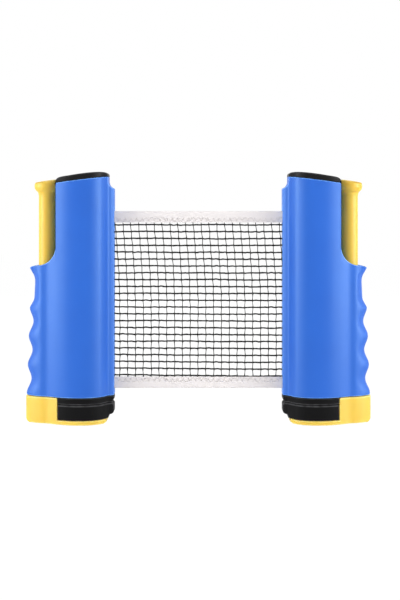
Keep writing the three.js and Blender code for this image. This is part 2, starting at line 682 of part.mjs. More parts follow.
function bodyScrew(x, z) {
  const shank = crossRod(SCREW_RADIUS, x, z, -SCREW_TIP, SCREW_SEAT + 0.5);
  const head = crossRod(SCREW_HEAD_RADIUS, x, z, SCREW_SEAT + SEAT_GAP, SCREW_SEAT + SEAT_GAP + SCREW_HEAD);
  return shank.add(head);
}

// ---- The net ----

const NET_HALF_LENGTH = POST_GAP / 2 + NET_ENTRY;

function netMesh() {
  const z0 = NET_BOTTOM + TAPE_HEIGHT + SEAT_GAP;
  const z1 = NET_TOP - TAPE_HEIGHT - SEAT_GAP;
  const half = STRAND / 2;
  const pitchX = (2 * NET_HALF_LENGTH - STRAND) / NET_COLUMNS;
  const pitchZ = (z1 - z0 - STRAND) / NET_ROWS;
  const cuts = [block(-NET_HALF_LENGTH, NET_HALF_LENGTH, -half, half, z0, z1)];
  for (let column = 0; column < NET_COLUMNS; column += 1) {
    for (let row = 0; row < NET_ROWS; row += 1) {
      const x = -NET_HALF_LENGTH + STRAND + column * pitchX;
      const z = z0 + STRAND + row * pitchZ;
      cuts.push(block(x, x + pitchX - STRAND, -1, 1, z, z + pitchZ - STRAND));
    }
  }
  return wasm.Manifold.difference(cuts);
}

function netTape(z) {
  const half = TAPE_THICKNESS / 2;
  return block(-NET_HALF_LENGTH, NET_HALF_LENGTH, -half, half, z, z + TAPE_HEIGHT);
}

// ---- Materials ----

const material = (color, roughness, metalness = 0) =>
  new THREE.MeshStandardMaterial({ color, roughness, metalness });

const MATERIALS = {
  blue: material(0x3f6fe4, 0.38),
  yellow: material(0xf0c048, 0.42),
  rubber: material(0x1b1b1d, 0.6),
  black: material(0x232325, 0.45),
  steel: material(0xb8bcc2, 0.3, 1),
  nylon: material(0xe8e6df, 0.5),
  tape: material(0xeceaea, 0.9),
  cord: material(0x1a1c1a, 0.8),
};

function piece(name, solid, finish) {
  const mesh = new THREE.Mesh(geometryOf(solid), MATERIALS[finish]);
  mesh.name = name;
  return mesh;
}

// ---- Assembly ----

function post(side) {
  const group = new THREE.Group();
  const add = (name, solid, finish) => group.add(piece(`${side}_${name}`, solid, finish));
  const shells = bodyShells();
  add("front_shell", shells.front, "blue");
  add("rear_shell", shells.back, "blue");
  add("top_cap", topCap(), "black");
  add("upper_jaw_pad", upperJawPad(), "rubber");
  add("lower_jaw_pad", lowerJawPad(), "rubber");
  add("clamp_foot", clampFoot(), "yellow");
  add("squeeze_plunger", squeezePlunger(), "yellow");
  add("plunger_pin", plungerPin(), "steel");
  add("clamp_spring", clampSpring(), "steel");
  add("spring_washer", springWasher(), "steel");
  add("roller_tube", rollerTube(), "nylon");
  add("roller_lower_plug", rollerLowerPlug(), "nylon");
  add("roller_upper_plug", rollerUpperPlug(), "nylon");
  add("roller_arbor", rollerArbor(), "steel");
  add("retract_spring", retractSpring(), "steel");
  add("spring_anchor", springAnchor(), "nylon");
  add("net_roll", netRoll(), "cord");
  add("net_feed", netFeed(), "cord");
  SCREWS.forEach(([x, z], i) => add(`shell_screw_${i + 1}`, bodyScrew(x, z), "steel"));
  return group;
}

const model = new THREE.Group();

const rightPost = post("right");
rightPost.position.x = POST_GAP / 2;
model.add(rightPost);

const leftPost = post("left");
leftPost.scale.x = -1;
leftPost.position.x = -POST_GAP / 2;
model.add(leftPost);

model.add(piece("net_mesh", netMesh(), "cord"));
model.add(piece("net_top_tape", netTape(NET_TOP - TAPE_HEIGHT), "tape"));
model.add(piece("net_bottom_tape", netTape(NET_BOTTOM), "tape"));

export default model;
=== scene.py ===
"""A retractable table tennis net between two clamp posts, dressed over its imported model."""

import math

import bmesh
import bpy
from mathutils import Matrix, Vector, noise


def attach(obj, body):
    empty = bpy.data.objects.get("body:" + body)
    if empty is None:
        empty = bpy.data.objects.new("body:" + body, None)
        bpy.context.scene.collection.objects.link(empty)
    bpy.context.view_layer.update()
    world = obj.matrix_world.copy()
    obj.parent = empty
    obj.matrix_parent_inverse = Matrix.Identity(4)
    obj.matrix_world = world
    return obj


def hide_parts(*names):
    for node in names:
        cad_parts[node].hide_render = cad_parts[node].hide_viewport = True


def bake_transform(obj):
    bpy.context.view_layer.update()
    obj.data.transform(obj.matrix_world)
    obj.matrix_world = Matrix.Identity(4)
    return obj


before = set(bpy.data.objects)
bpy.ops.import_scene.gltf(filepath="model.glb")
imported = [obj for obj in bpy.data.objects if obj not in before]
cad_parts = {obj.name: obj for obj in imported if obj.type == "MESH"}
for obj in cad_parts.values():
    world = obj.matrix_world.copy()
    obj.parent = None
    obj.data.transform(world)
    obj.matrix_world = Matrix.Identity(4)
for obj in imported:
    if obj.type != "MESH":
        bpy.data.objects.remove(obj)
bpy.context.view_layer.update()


# ------------------------------------------------------------------ Studio
# The camera stands in front of the net, a little above it. A tall softbox at
# each side, weak ones in front and above, one behind and a white room light the
# posts. The white floor lies low enough for the feet when the jaws are open.
scene = bpy.context.scene
scene.view_settings.view_transform = "Standard"

bpy.ops.object.select_all(action="DESELECT")
bpy.ops.object.camera_add(location=(0.0013, -0.811, 0.164), rotation=(math.radians(90), 0, 0))
camera = bpy.context.object
camera.name = "photo_camera"
camera.data.sensor_fit = "VERTICAL"
camera.data.sensor_height = 24
camera.data.lens = 40.56
camera.data.shift_y = -0.1408
scene.camera = camera


def softbox(name, place, target, width, height, watts):
    """A rectangular studio lamp that faces a target."""
    bpy.ops.object.light_add(type="AREA", location=place)
    lamp = bpy.context.object
    lamp.name = name
    lamp.data.shape = "RECTANGLE"
    lamp.data.size = width
    lamp.data.size_y = height
    lamp.data.energy = watts
    lamp.rotation_euler = (Vector(target) - Vector(place)).to_track_quat("-Z", "Y").to_euler()
    return lamp


middle = (0, 0, 0.1)
softbox("left_softbox", (-1.15, -0.45, 0.3), middle, 0.7, 1.0, 17)
softbox("right_softbox", (1.15, -0.45, 0.3), middle, 0.7, 1.0, 17)
softbox("front_fill", (0, -1.7, 0.8), middle, 0.9, 0.5, 2.3)
softbox("top_light", (0, -0.1, 1.3), middle, 1.2, 0.8, 5)
back_fill = softbox("back_fill", (0, 1.7, 0.25), middle, 1.4, 0.9, 20)
back_fill.visible_camera = back_fill.visible_glossy = False


def nodes_of(owner):
    """The emptied node tree of a material or a world."""
    owner.use_nodes = True
    tree = owner.node_tree
    tree.nodes.clear()
    return tree


def add(tree, kind, inputs=(), **settings):
    """Adds a node, sets its settings, and sets or links its inputs by name or number."""
    node = tree.nodes.new(kind)
    for name, value in settings.items():
        setattr(node, name, value)
    for name, value in dict(inputs).items():
        if isinstance(value, bpy.types.NodeSocket):
            tree.links.new(value, node.inputs[name])
        else:
            node.inputs[name].default_value = value
    return node


def maths(tree, operation, first, second):
    """What a node works out from two values."""
    return add(tree, "ShaderNodeMath", {0: first, 1: second}, operation=operation).outputs[0]


def mixed_colour(tree, share, first, second):
    """A colour that goes from the first to the second with the share."""
    return add(tree, "ShaderNodeMix", {0: share, 6: first, 7: second}, data_type="RGBA").outputs[2]


def seen_straight(tree):
    """1 for rays that come from the camera, a mirror or glass."""
    ray = add(tree, "ShaderNodeLightPath").outputs
    seen = maths(tree, "MAXIMUM", ray["Is Camera Ray"], ray["Is Glossy Ray"])
    return maths(tree, "MAXIMUM", seen, ray["Is Transmission Ray"])


WHITE = (1, 1, 1, 1)
world = bpy.data.worlds.new("white_room")
scene.world = world
tree = nodes_of(world)
room = add(tree, "ShaderNodeBackground", {"Color": WHITE, "Strength": 0.17}).outputs[0]
backdrop = add(tree, "ShaderNodeBackground", {"Color": WHITE, "Strength": 1.0}).outputs[0]
mixed = add(tree, "ShaderNodeMixShader", {0: seen_straight(tree), 1: room, 2: backdrop})
add(tree, "ShaderNodeOutputWorld", {"Surface": mixed.outputs[0]})

FLOOR_Z = -0.0405
bpy.ops.mesh.primitive_plane_add(size=8, location=(0, 0, FLOOR_Z))
table = bpy.context.object
table.name = "white_table"
finish = bpy.data.materials.new("white_table")
tree = nodes_of(finish)
speckle = add(tree, "ShaderNodeTexNoise", {"Scale": 40.0, "Detail": 3.0}).outputs[0]
tone = mixed_colour(tree, speckle, (0.9, 0.9, 0.9, 1), (0.94, 0.94, 0.94, 1))
matt = add(tree, "ShaderNodeBsdfDiffuse", {"Color": tone}).outputs[0]
glow = add(tree, "ShaderNodeEmission", {"Color": WHITE, "Strength": 1.04}).outputs[0]
share = maths(tree, "MULTIPLY", seen_straight(tree), 0.95)
mixed = add(tree, "ShaderNodeMixShader", {0: share, 1: matt, 2: glow})
add(tree, "ShaderNodeOutputMaterial", {"Surface": mixed.outputs[0]})
table.data.materials.append(finish)


# ------------------------------------------------------------ Body halves
# Each post has a front and a rear half of glossy blue moulded plastic, which
# meet in the middle plane: a barrel for the net roller with a lip round the
# net's slot, and beside it a grip with finger grooves. Screws join the halves.
POST_X = 67.0
BODY_FOOT, GRIP_TOP, BODY_TOP = 21.4, 126, 200
HALF_DEPTH, WALL, SEAM = 21, 2.2, 0.1
BARREL_IN, BARREL_OUT, FOLD_U = 4.6, 45.2, 57.3
STEM_U, STEM_HOLE = 53.6, 7.15
POLE, SLIDE = 4.1, 0.3
FIRST_RIDGE, LAST_RIDGE, FINGER = 22.6, 91.0, 22.8
RIDGE_U, TAPER, GROOVE = 70.2, 0.035, 3.4
WAIST_U, HOLLOW_HIGH = 63.5, 31.4
BEAK_Z, BEAK_U = 121.6, 67.7
NOTCH_U, NOTCH_Z, NOTCH_WIDE, NOTCH_HIGH = 61.0, 139.0, 15.8, 14.6

# The barrel's outline in shares of its curve's width and of the half depth, and
# the grip's in shares of the way from the fold to its edge, with its own depth.
CURVE_WIDE = 41.8
BARREL = ((0.058, 0.59), (0.15, 0.79), (0.32, 0.953), (0.53, 1), (0.75, 0.94), (0.966, 0.777))
NOSE = ((0, 11.2), (0.42, 8.9), (0.8, 5.3), (0.96, 2.4), (1, 0))

# Where along the given points the outline has its own, closer together at the fold.
STEPS = [k / 4 for k in range(33)] + [8.38, 8.69, 9, 9.33, 9.67] + [10 + k / 4 for k in range(17)]


def at(u, y, z):
    """A point of the right post in metres, from millimetres out from its net face, back, and up."""
    return Vector((POST_X + u, y, z)) / 1000


def through(points, share):
    """The point at a share of the way along a smooth curve through the points."""
    last = len(points) - 1
    i = min(int(share * last), last - 1)
    w = share * last - i
    a, b, c, d = (Vector(points[min(max(i + k, 0), last)]) for k in (-1, 0, 1, 2))
    p, q = (c - a) / 2, (d - b) / 2
    return (2 * b - 2 * c + p + q) * w**3 + (3 * c - 3 * b - 2 * p - q) * w * w + p * w + b


def curve(points, steps):
    """Points at even shares of a smooth curve through the points."""
    return [through(points, k / steps) for k in range(steps + 1)]


def level(points, x):
    """The height at x of a smooth curve through points that go up in x."""
    low, high = 0.0, 1.0
    for _ in range(24):
        half = (low + high) / 2
        low, high = (half, high) if through(points, half).x < x else (low, half)
    return through(points, low).y


def grip_edge(z):
    """How far out the finger side of the grip reaches at a height. Above its top, it stays the same."""
    z = min(z, GRIP_TOP)
    if z <= LAST_RIDGE:
        groove = abs(math.sin(math.pi * (z - FIRST_RIDGE) / FINGER)) ** 1.9
        return RIDGE_U - TAPER * (z - FIRST_RIDGE) - GROOVE * groove
    hollow = [(0, 67.8), (0.1, 65.9), (0.22, 64.2), (0.45, 63.7), (0.7, WAIST_U), (0.85, 65.0)]
    hollow += [(0.97, BEAK_U), (1.2, 71)]
    return level(hollow, (z - LAST_RIDGE) / HOLLOW_HIGH)


def half_plan(edge):
    """Points along the rear half of the body's outline, from the slot's lip to the grip's nose."""
    barrel = [(BARREL_IN + CURVE_WIDE * along, HALF_DEPTH * deep) for along, deep in BARREL]
    nose = [(FOLD_U + (edge - FOLD_U) * out, y) for out, y in NOSE]
    return [(0, 5.4), (1.84, 7.0), (BARREL_IN, 8.6), *barrel, (52, 12.5), *nose]


def outline(edge):
    """The body's closed outline, as (u, y) points."""
    points = half_plan(edge)
    rear = [through(points, step / (len(points) - 1)) for step in STEPS]
    return [(p.x, p.y) for p in rear] + [(p.x, -p.y) for p in reversed(rear[:-1])]


def shrunk(points, gap):
    """A closed outline moved in by a gap all round. It runs clockwise, seen from above."""
    inward = []
    for k, here in enumerate(points):
        here, before, after = Vector(here), Vector(points[k - 1]), Vector(points[(k + 1) % len(points)])
        one, two = (here - before).normalized(), (after - here).normalized()
        bend = (one + two).normalized()
        inward.append(here + Vector((bend.y, -bend.x)) * gap / max(bend.dot(one), 0.5))
    return inward


def between(points, low, high):
    """The part of a closed outline that lies between two distances out from the net face."""
    for sign, limit in ((1, low), (-1, -high)):
        kept = []
        for k, here in enumerate(points):
            before = points[k - 1]
            inside, was_inside = sign * here[0] > limit, sign * before[0] > limit
            if inside != was_inside:
                share = (sign * limit - before[0]) / (here[0] - before[0])
                kept.append((sign * limit, before[1] + share * (here[1] - before[1])))
            if inside:
                kept.append(here)
        points = kept
    return points


def disc(u, v, radius, sides=48):
    """The points of a circle round (u, v)."""
    turn = [2 * math.pi * k / sides for k in range(sides)]
    return [(u + radius * math.cos(a), v + radius * math.sin(a)) for a in turn]


def only(piece):
    """Leaves one piece selected and active."""
    bpy.ops.object.select_all(action="DESELECT")
    piece.select_set(True)
    bpy.context.view_layer.objects.active = piece


def loft(name, rings):
    """A closed solid through rings of points: a disc, extruded from each ring to the next."""
    bpy.ops.object.select_all(action="DESELECT")
    bpy.ops.mesh.primitive_circle_add(vertices=len(rings[0]), radius=0.01, fill_type="NGON")
    piece = bpy.context.object
    piece.name = piece.data.name = name
    order = piece.data.attributes.new("order", "INT", "POINT")
    order.data.foreach_set("value", range(len(rings[0])))
    bpy.ops.object.mode_set(mode="EDIT")
    for step, ring in enumerate(rings):
        if step:
            bpy.ops.mesh.extrude_region_move()
        mesh = bmesh.from_edit_mesh(piece.data)
        number = mesh.verts.layers.int["order"]
        for vert in mesh.verts:
            if vert.select:
                vert.co = ring[vert[number]]
        bmesh.update_edit_mesh(piece.data)
    bpy.ops.mesh.select_all(action="SELECT")
    bpy.ops.mesh.normals_make_consistent(inside=False)
    bpy.ops.object.mode_set(mode="OBJECT")
    piece.data.attributes.remove(piece.data.attributes["order"])
    return piece


def standing(name, points, low, high):
    """A solid with an upright outline of (u, y) points between two heights."""
    return loft(name, [[at(u, y, z) for u, y in points] for z in (low, high)])


def lying(name, points, front=-60, back=60):
    """A solid with a side outline of (u, z) points, from front to back."""
    return loft(name, [[at(u, y, z) for u, z in points] for y in (front, back)])


def box(u0, u1, y0, y1, z0, z1):
    """A plain block, to cut or add."""
    return lying("block", [(u0, z0), (u1, z0), (u1, z1), (u0, z1)], y0, y1)


def square(half, low, high):
    """An upright square block round the stem's middle line, to cut or add."""
    return box(STEM_U - half, STEM_U + half, -half, half, low, high)


def rod(u, z, radius, front, back):
    """A round rod that runs from front to back, to cut or add."""
    return lying("rod", disc(u, z, radius, 24), front, back)


def carve(piece, tool, operation="DIFFERENCE"):
    """Cuts one solid with another, adds it, or keeps what both hold."""
    modifier = piece.modifiers.new("carve", "BOOLEAN")
    modifier.operation, modifier.solver, modifier.object = operation, "MANIFOLD", tool
    only(piece)
    bpy.ops.object.modifier_apply(modifier=modifier.name)
    bpy.data.objects.remove(tool)
    return piece


def copied(piece, name):
    """A copy with its own mesh."""
    twin = piece.copy()
    twin.data = piece.data.copy()
    twin.name = twin.data.name = name
    scene.collection.objects.link(twin)
    return twin


def pick_edges(test):
    """In edit mode, selects only the edges that pass the test."""
    bpy.ops.mesh.select_mode(type="EDGE")
    bpy.ops.mesh.select_all(action="DESELECT")
    mesh = bmesh.from_edit_mesh(bpy.context.object.data)
    for edge in mesh.edges:
        if test(edge):
            edge.select_set(True)
    bmesh.update_edit_mesh(bpy.context.object.data)


def round_edges(piece, width, test=lambda a, b: True, segments=3, least=30):
    """Rounds the outward corners that are sharper than some degrees and whose two ends, in post
    millimetres, pass the test. The new faces are marked as rim."""

    def chosen(edge):
        if len(edge.link_faces) != 2 or edge.calc_face_angle_signed(0) <= math.radians(least):
            return False
        return test(*[Vector((v.co.x * 1000 - POST_X, v.co.y * 1000, v.co.z * 1000)) for v in edge.verts])

    only(piece)
    bpy.ops.object.mode_set(mode="EDIT")
    pick_edges(chosen)
    bpy.ops.mesh.bevel(
        offset=width / 1000, segments=segments, profile=0.5, affect="EDGES", clamp_overlap=False
    )
    mesh = bmesh.from_edit_mesh(piece.data)
    rim = mesh.faces.layers.float.get("rim") or mesh.faces.layers.float.new("rim")
    for face in mesh.faces:
        if face.select:
            face[rim] = 1.0
    bmesh.update_edit_mesh(piece.data)
    bpy.ops.object.mode_set(mode="OBJECT")


def smooth(piece, degrees=32):
    """Smooths a piece except at its sharp corners, with the flat faces leading."""
    only(piece)
    bpy.ops.object.shade_smooth_by_angle(angle=math.radians(degrees))
    modifier = piece.modifiers.new("flat_faces_lead", "WEIGHTED_NORMAL")
    modifier.keep_sharp = True
    bpy.ops.object.modifier_apply(modifier=modifier.name)


def mirrored(piece, name):
    """The left post's copy of a piece of the right post."""
    twin = copied(piece, name)
    for vert in twin.data.vertices:
        vert.co.x = -vert.co.x
    only(twin)
    bpy.ops.object.mode_set(mode="EDIT")
    bpy.ops.mesh.select_all(action="SELECT")
    bpy.ops.mesh.flip_normals()
    bpy.ops.object.mode_set(mode="OBJECT")
    return twin


def in_both(piece, node, body, material):
    """Finishes a piece of the right post and its left copy, which stand for their CAD nodes."""
    piece.name = piece.data.name = f"right_{piece.name}"
    left = mirrored(piece, piece.name.replace("right_", "left_"))
    for made, side in ((piece, "right"), (left, "left")):
        smooth(made)
        made.data.materials.clear()
        made.data.materials.append(material)
        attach(made, f"{side}_{body}")
        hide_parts(f"{side}_{node}")


def group(name, inputs, outputs):
    """A new shader node group with its sockets; returns its tree, what comes in, and where it goes out."""
    made = bpy.data.node_groups.new(name, "ShaderNodeTree")
    for label, kind, value in inputs:
        socket = made.interface.new_socket(name=label, in_out="INPUT", socket_type=kind)
        if value is not None:
            socket.default_value = value
    for label, kind in outputs:
        made.interface.new_socket(name=label, in_out="OUTPUT", socket_type=kind)
    return made, add(made, "NodeGroupInput").outputs, add(made, "NodeGroupOutput").inputs


# Moulded surface: slow clouds from the melt's flow, and the fine grain of a spark-eroded mould.
moulded_surface, given, wanted = group(
    "moulded_surface",
    [("Vector", "NodeSocketVector", None), ("Grain", "NodeSocketFloat", 1500.0)],
    [("Cloud", "NodeSocketFloat"), ("Gloss", "NodeSocketFloat"), ("Height", "NodeSocketFloat")],
)
for label, scale, detail in (("Cloud", 24.0, 2.0), ("Gloss", 130.0, 4.0), ("Height", given["Grain"], 2.0)):
    texture = {"Vector": given["Vector"], "Scale": scale, "Detail": detail}
    texture = add(moulded_surface, "ShaderNodeTexNoise", texture).outputs[0]
    moulded_surface.links.new(texture, wanted[label])

# Painted edge highlight: the rounded corners are coloured paler in uneven patches, a painted highlight where
# light would catch them.
rubbed_edges, given, wanted = group(
    "rubbed_edges",
    [
        ("Vector", "NodeSocketVector", None),
        ("Rim", "NodeSocketFloat", 0.0),
        ("Amount", "NodeSocketFloat", 0.5),
    ],
    [("Mask", "NodeSocketFloat")],
)
patch = {"Vector": given["Vector"], "Scale": 260.0, "Detail": 4.0}
patch = add(rubbed_edges, "ShaderNodeTexNoise", patch).outputs[0]
uneven = {"Value": patch, "From Min": 0.3, "From Max": 0.62, "To Min": 0.35}
uneven = add(rubbed_edges, "ShaderNodeMapRange", uneven).outputs[0]
mask = maths(rubbed_edges, "MULTIPLY", uneven, given["Rim"])
mask = maths(rubbed_edges, "MULTIPLY", mask, given["Amount"])
rubbed_edges.links.new(mask, wanted["Mask"])


def srgb(*colour):
    """A colour written as in a paint program, from 0 to 255, as Blender's linear colour."""
    return [(c / 255 / 12.92 if c < 11 else ((c / 255 + 0.055) / 1.055) ** 2.4) for c in colour] + [1]


def new_material(name, grain):
    """A new material, its node tree, its coordinates, and what a moulded surface gives at them."""
    material = bpy.data.materials.new(name)
    tree = nodes_of(material)
    where = add(tree, "ShaderNodeTexCoord").outputs["Object"]
    surface = add(tree, "ShaderNodeGroup", {"Vector": where, "Grain": grain}, node_tree=moulded_surface)
    return material, tree, where, surface.outputs


def finish_off(tree, tone, gloss, rough, height, bump, more, depth=0.0002):
    """Ends a material: its colour, a roughness that varies with the gloss, its relief, and more inputs."""
    rough = {"Value": gloss, "To Min": rough[0], "To Max": rough[1]}
    rough = add(tree, "ShaderNodeMapRange", rough).outputs[0]
    relief = {"Height": height, "Strength": bump, "Distance": depth}
    relief = add(tree, "ShaderNodeBump", relief).outputs[0]
    skin = {"Base Color": tone, "Roughness": rough, "Normal": relief, **more}
    skin = add(tree, "ShaderNodeBsdfPrincipled", skin).outputs[0]
    add(tree, "ShaderNodeOutputMaterial", {"Surface": skin})


def moulded(
    name, deep, pale, highlight_colour, rough, grain=1500.0, bump=0.08, highlight_amount=0.5, specular=0.5, tint=WHITE, milky=0.0
):
    """A moulded plastic or rubber: two near tones in clouds, a painted highlight that colours the rounded
    edges paler, uneven gloss and grain.
    """
    material, tree, where, surface = new_material(name, grain)
    rim = add(tree, "ShaderNodeAttribute", attribute_name="rim").outputs["Fac"]
    rim_highlight = {"Vector": where, "Rim": rim, "Amount": highlight_amount}
    rim_highlight = add(tree, "ShaderNodeGroup", rim_highlight, node_tree=rubbed_edges).outputs["Mask"]
    tone = mixed_colour(tree, surface["Cloud"], srgb(*deep), srgb(*pale))
    # The rounded edges take the paler colour: a painted highlight.
    tone = mixed_colour(tree, rim_highlight, tone, srgb(*highlight_colour))
    more = {
        "Specular IOR Level": specular,
        "Specular Tint": tint,
        "Subsurface Weight": milky,
        "Subsurface Radius": (1.0, 0.7, 0.3),
        "Subsurface Scale": 0.005,
    }
    finish_off(tree, tone, surface["Gloss"], rough, surface["Height"], bump, more)
    return material


# In each moulded finish, the third colour is the painted highlight on its rounded edges.
blue_plastic = moulded(
    "blue_plastic",
    (24, 84, 186),
    (30, 95, 200),
    (120, 178, 255),
    (0.4, 0.5),
    highlight_amount=0.8,
    specular=0.8,
    tint=(0.5, 0.78, 1, 1),
)


def barrel_top(u):
    """The height of the barrel's slanted top, at a distance out from the net face."""
    return 194.8 - 0.127 * (u - BARREL_IN)


def above_top(a, b):
    """How far the lower end of an edge lies above the barrel's slanted top."""
    return min(a.z - barrel_top(a.x), b.z - barrel_top(b.x))


HEIGHTS = [BODY_FOOT + 1.5 * k for k in range(66)] + [GRIP_TOP, BODY_TOP]
RINGS = [[Vector(point) for point in outline(grip_edge(z))] for z in HEIGHTS]
body = loft("body", [[at(u, y, z) for u, y in ring] for ring, z in zip(RINGS, HEIGHTS)])
lip = curve([(0, 185.5), (2.1, 186.5), (3.7, 188.1), (BARREL_IN, 190.5)], 8)
arc = [math.pi + math.pi / 2 * k / 16 for k in range(17)]
notch = [(NOTCH_U + NOTCH_WIDE * math.cos(a), NOTCH_Z + NOTCH_HIGH * math.sin(a)) for a in arc]
beak = [(64.4, 123.9), (66.8, 123.0), (BEAK_U, BEAK_Z), (90, BEAK_Z)]
top = [(u, barrel_top(u)) for u in (BARREL_IN, BARREL_OUT)]
carve(body, lying("side_view", [(-5, 10), (-5, 185.5), *lip, *top, *notch, *beak, (90, 10)]), "INTERSECT")

# The rooms inside follow the outline where the grip is narrowest.
ROOM_OUT, FLOOR_TOP = 43.2, 24
inner = shrunk(outline(WAIST_U), WALL)
barrel_room = standing("barrel_room", between(inner, WALL + 0.02, ROOM_OUT), FLOOR_TOP, 210)
room_side = [(0, 20), (60, 20), (60, 220), (6.8, 220), (6.8, 188), (3, 183), (0, 183)]
carve(barrel_room, lying("room_side", room_side), "INTERSECT")
grip_room = standing("grip_room", between(inner, BARREL_OUT, RIDGE_U), FLOOR_TOP + 0.1, 117)
stem_hole = standing("stem_hole", disc(STEM_U, 0, STEM_HOLE), 116, 150)
column_hole = square(POLE + SLIDE, 20, 26)
slot = box(-2, 8, -1.4, 1.4, 24.2, 170.6)
for hollow in (stem_hole, column_hole, slot, barrel_room, grip_room):
    carve(body, hollow)

# How far off a line a point may lie and still count as on it.
NEAR = 0.1


def outside(point):
    """Whether a point of the shell, in post millimetres, lies on its outer skin."""
    k = max(i for i, z in enumerate(HEIGHTS[:-1]) if z <= point.z + 0.01)
    share = (point.z - HEIGHTS[k]) / (HEIGHTS[k + 1] - HEIGHTS[k])
    ring = [low.lerp(high, share) for low, high in zip(RINGS[k], RINGS[k + 1])]
    here = point.xy
    for a, b in zip(ring, ring[1:] + ring[:1]):
        share = min(max((here - a).dot(b - a) / (b - a).length_squared, 0), 1)
        if (a + share * (b - a) - here).length < 0.25:
            return True
    return False


def on_rim(a, b):
    """Whether an edge is on the lower rim, the top, the slot's lip, the flange's corners or the notch."""
    at_foot = max(a.z, b.z) < BODY_FOOT + NEAR
    at_top = above_top(a, b) > -NEAR
    at_lip = max(a.x, b.x) < BARREL_IN + NEAR and min(a.z, b.z) > 185
    at_flange = max(a.x, b.x) < 0.3
    at_notch = min(a.z, b.z) > 122.5 and min(a.x, b.x) > BARREL_OUT - NEAR
    return (at_foot or at_top or at_lip or at_flange or at_notch) and outside(a) and outside(b)


def on_hole(point):
    """Whether a point of the shell lies at the upper end of the stem's hole."""
    return abs(math.hypot(point.x - STEM_U, point.y) - STEM_HOLE) < 0.02 and point.z > 118


# Each screw's place out and up, and how much deeper than the others it is sunk.
SCREWS = ((9.5, 181, 0), (41.4, 181, 0), (41.4, 100.2, 0), (41.4, 34, 0), (64.8, 45.4, 1.6), (64.2, 91, 1.6))
REAR_BOSS, FRONT_BOSS, WELL, HOLE, PILOT = 3.3, 2.4, 2.4, 1.1, 0.85
BOSS_FROM, WELL_FROM = 3.0, 4.2

rear = copied(body, "body_rear")
body.name = body.data.name = "body_front"
carve(body, box(-10, 90, -SEAM, 60, 10, 210))
carve(rear, box(-10, 90, -60, SEAM, 10, 210))
for shell in (body, rear):
    round_edges(shell, 0.6, lambda a, b: on_rim(a, b) and max(abs(a.y), abs(b.y)) > 0.2)
    round_edges(shell, 0.2, lambda a, b: max(abs(a.y), abs(b.y)) < 0.12 and outside(a) and outside(b), 1)
    round_edges(shell, 0.3, lambda a, b: on_hole(a) and on_hole(b), 2)
    for u, z, sunk in SCREWS:
        edge = min(grip_edge(z + rise) for rise in (-REAR_BOSS, 0, REAR_BOSS))
        inside = standing("inside", shrunk(outline(edge - 0.4), 1.2), z - 6, z + 6)
        if shell is rear:
            boss = carve(rod(u, z, REAR_BOSS, BOSS_FROM - sunk, 40), inside, "INTERSECT")
            carve(shell, boss, "UNION")
            carve(shell, rod(u, z, WELL, WELL_FROM - sunk, 60))
            carve(shell, rod(u, z, HOLE, 0, 5))
        else:
            boss = carve(rod(u, z, FRONT_BOSS, -40, -0.3), inside, "INTERSECT")
            carve(shell, boss, "UNION")
            carve(shell, rod(u, z, PILOT, 1.5 * sunk - 8, 0))
in_both(body, "front_shell", "post", blue_plastic)
in_both(rear, "rear_shell", "post", blue_plastic)


# ----------------------------------------------------------------- Screws
# Six pan-head screws with a cross recess hold each body together from the
# rear. They are thread-rolled steel, bright zinc plated, sunk in round wells.
def metal(name, deep, pale, rough):
    """A plated metal: two near tones in a fine grain, and uneven gloss."""
    material, tree, where, surface = new_material(name, 2500.0)
    grain = add(tree, "ShaderNodeTexNoise", {"Vector": where, "Scale": 900.0, "Detail": 3.0}).outputs[0]
    tone = mixed_colour(tree, grain, srgb(*deep), srgb(*pale))
    finish_off(tree, tone, surface["Gloss"], rough, grain, 0.15, {"Metallic": 1.0}, depth=0.00005)
    return material


zinc = metal("zinc_plate", (150, 152, 156), (206, 208, 212), (0.25, 0.42))

# The screw's radii and heights, from its point over the thread to its head. A
# screw that is sunk deeper has a shorter thread below the top of its shank.
SHANK_TOP, SHORTER = 0.0032, 0.24
profile = [(0.25, -7), (0.75, -6.2), *[(1.0 if k % 2 else 0.74, -6.0 + 0.45 * k) for k in range(20)]]
profile += [(0.8, 3.2), (0.95, 4.22), (2.12, 4.22), (2.2, 4.35), (2.2, 4.95)]
profile += [(2.05, 5.35), (1.65, 5.65), (1.0, 5.8), (0.4, 5.84)]
turn = [math.pi * k / 12 for k in range(24)]
screw = [[Vector((r * math.cos(a), y, r * math.sin(a))) / 1000 for a in turn] for r, y in profile]
screw = loft("screw", screw)
arm = [(-0.3, -1.25), (0.3, -1.25), (0.3, 1.25), (-0.3, 1.25)]
for cross in (arm, [(z, x) for x, z in arm]):
    recess = [[Vector((x * s, y, z * s)) / 1000 for x, z in cross] for s, y in ((0.55, 4.75), (1.0, 6.2))]
    carve(screw, loft("recess", recess))
for number, (u, z, sunk) in enumerate(SCREWS, 1):
    made = copied(screw, f"screw_{number}")
    cos, sin = math.cos(0.7 * number), math.sin(0.7 * number)
    for vert in made.data.vertices:
        x, y, up = vert.co
        if y <= SHANK_TOP:
            y = SHANK_TOP - (SHANK_TOP - y) * (1 - SHORTER * sunk)
        vert.co = at(u, 0, z) + Vector((x * cos - up * sin, y - sunk / 1000, x * sin + up * cos))
    in_both(made, f"shell_screw_{number}", "post", zinc)
bpy.data.objects.remove(screw)


# -------------------------------------------------------------------- Cap
# A thick cap of black moulded plastic closes the slanted top of each barrel.
# Its crown is rounded all round, and a hollow spigot below plugs the barrel.
black_plastic = moulded(
    "black_plastic", (7, 7, 8), (13, 13, 14), (60, 60, 62), (0.36, 0.5), highlight_amount=0.35, specular=0.14
)

# The cap and the pads share the barrel's outline, wherever the grip's edge is.
PLAN = outline(RIDGE_U)
SPIGOT_IN, SPIGOT_OUT, SPIGOT_GAP, SPIGOT_WALL = 7.3, 43.6, 0.3, 1.8


def along_top(low, high):
    """A side outline between two heights above the barrel's slanted top."""
    return [(u, barrel_top(u) + rise) for u, rise in ((5, low), (45, low), (45, high), (5, high))]


